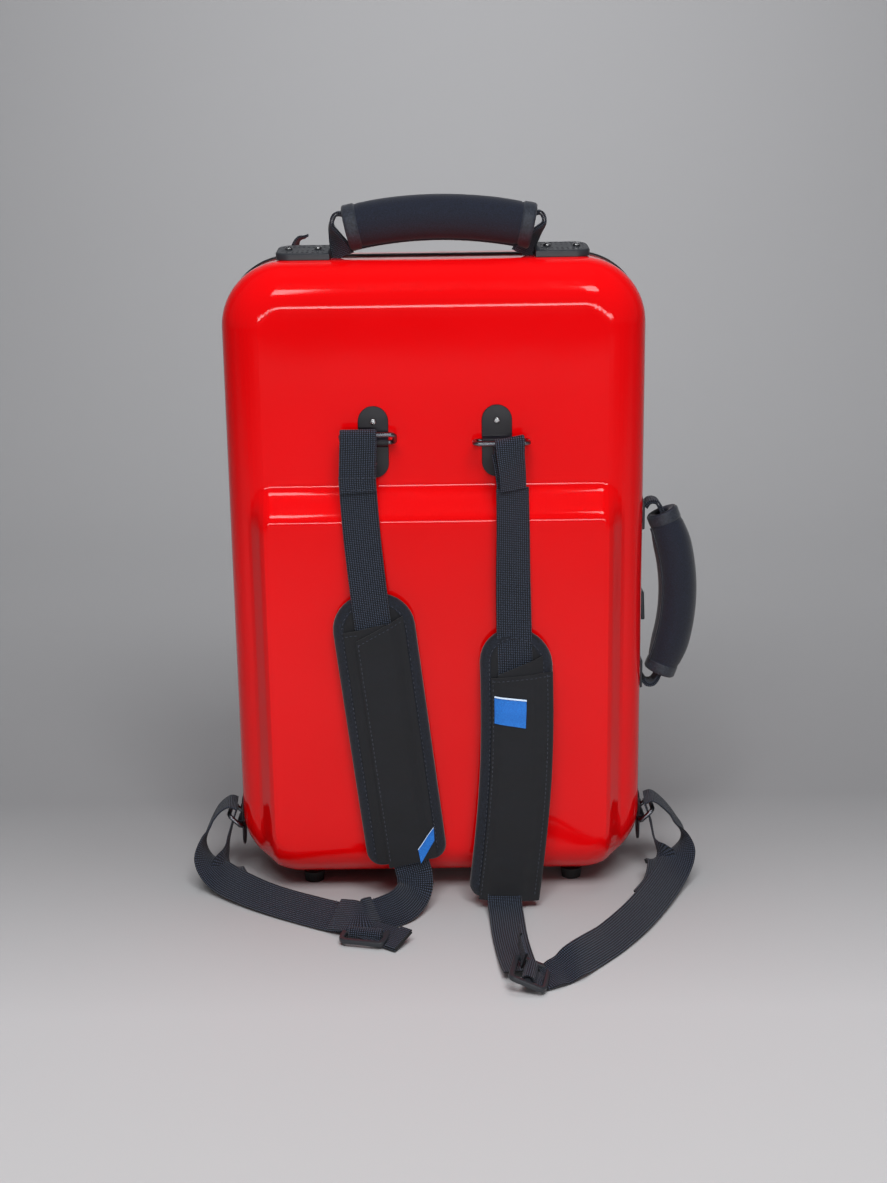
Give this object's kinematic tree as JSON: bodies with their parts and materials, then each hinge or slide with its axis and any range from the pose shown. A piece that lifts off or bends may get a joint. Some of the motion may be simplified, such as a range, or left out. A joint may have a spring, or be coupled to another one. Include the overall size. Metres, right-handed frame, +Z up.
{
  "type": "hard-shell instrument case",
  "caption": "Upright hard-shell instrument case with hinged lid, latch, padded carry handles, wire strap rings and padded backpack straps that lie on the floor in front.",
  "frame": {"origin": "on the floor under the middle of the case with its handles, straps left out", "axes": "+Z up the case, -Y out of the strap side, +Y out of the lid, +X towards the latch and side handle"},
  "size_m": [0.4547, 0.3809, 0.6095],
  "materials": {
    "red_gelcoat": "polished gelcoat over glass fibre",
    "black_trim": "satin extruded edging",
    "seal_rubber": "soft matt strip",
    "plush_foam": "short-pile cloth over foam",
    "black_plastic": "fine-grained moulding",
    "black_steel": "black satin coating",
    "gunmetal": "dark plated wire",
    "bright_steel": "bright plated",
    "neoprene": "cloth-faced foam grip",
    "webbing_nylon": "basket-weave webbing",
    "pad_twill": "twill over thin foam",
    "foot_rubber": "matt"
  },
  "bodies": {
    "case": {"rear_shell": "red_gelcoat", "rear_rim": "black_trim", "seal": "seal_rubber", "rear_liner": "plush_foam", "foot_rear_left": "foot_rubber", "foot_rear_right": "foot_rubber", "top_plate_left": "black_plastic", "top_plate_right": "black_plastic", "side_plate_lower": "black_plastic", "side_plate_upper": "black_plastic", "anchor_left": "black_steel", "anchor_right": "black_steel", "side_anchor_left": "black_steel", "side_anchor_right": "black_steel", "strap_upper_left": "webbing_nylon", "strap_upper_right": "webbing_nylon", "strap_lower_left": "webbing_nylon", "strap_lower_right": "webbing_nylon", "strap_return_right": "webbing_nylon", "pad_left": "pad_twill", "pad_right": "pad_twill", "slider_left": "black_plastic", "slider_right": "black_plastic", "hinge_leaf_case_lower": "black_steel", "hinge_leaf_case_upper": "black_steel", "latch_base": "bright_steel", "top_screw_left_inner": "bright_steel", "top_screw_left_outer": "bright_steel", "anchor_screw_left_upper": "black_steel", "anchor_screw_left_lower": "black_steel", "side_screw_left": "bright_steel", "top_screw_right_inner": "bright_steel", "top_screw_right_outer": "bright_steel", "anchor_screw_right_upper": "black_steel", "anchor_screw_right_lower": "black_steel", "side_screw_right": "bright_steel"},
    "lid": {"lid_shell": "red_gelcoat", "lid_rim": "black_trim", "lid_liner": "plush_foam", "foot_lid_left": "foot_rubber", "foot_lid_right": "foot_rubber", "hinge_leaf_lid_lower": "black_steel", "hinge_leaf_lid_upper": "black_steel", "latch_keeper": "bright_steel", "lid_tab": "webbing_nylon"},
    "latch": {"latch_lever": "black_plastic"},
    "top_handle": {"top_grip": "neoprene", "top_handle_webbing": "webbing_nylon"},
    "side_handle": {"side_grip": "neoprene", "side_handle_webbing": "webbing_nylon"},
    "ring_left": {"ring_left": "gunmetal", "loop_left": "webbing_nylon"},
    "ring_right": {"ring_right": "gunmetal", "loop_right": "webbing_nylon"},
    "side_ring_left": {"side_ring_left": "gunmetal"},
    "side_ring_right": {"side_ring_right": "gunmetal"}
  },
  "joints": [
    {"name": "lid_hinge", "type": "hinge", "parent": "case", "child": "lid", "pos_m": [-0.2021, 0.0152, 0.28], "axis": [0, 0, 1], "range_deg": [0, 100]},
    {"name": "latch_pivot", "type": "hinge", "parent": "case", "child": "latch", "pos_m": [0.1663, -0.0053, 0.244], "axis": [0, 0, -1], "range_deg": [0, 35]},
    {"name": "top_handle_swing", "type": "hinge", "parent": "case", "child": "top_handle", "pos_m": [-0.0183, -0.0148, 0.563], "axis": [1, 0, 0], "range_deg": [-42, 42]},
    {"name": "side_handle_swing", "type": "hinge", "parent": "case", "child": "side_handle", "pos_m": [0.1699, -0.0148, 0.259], "axis": [0, 0, 1], "range_deg": [-24, 24]},
    {"name": "ring_left_swing", "type": "hinge", "parent": "case", "child": "ring_left", "pos_m": [-0.0745, -0.0755, 0.408], "axis": [-1, 0, 0], "range_deg": [0, 25]},
    {"name": "ring_right_swing", "type": "hinge", "parent": "case", "child": "ring_right", "pos_m": [0.0372, -0.0755, 0.408], "axis": [-1, 0, 0], "range_deg": [0, 40]},
    {"name": "side_ring_left_swing", "type": "hinge", "parent": "case", "child": "side_ring_left", "pos_m": [-0.201, -0.0248, 0.05], "axis": [0, 1, 0], "range_deg": [-35, 20]},
    {"name": "side_ring_right_swing", "type": "hinge", "parent": "case", "child": "side_ring_right", "pos_m": [0.1644, -0.0248, 0.05], "axis": [0, -1, 0], "range_deg": [-35, 20]}
  ]
}
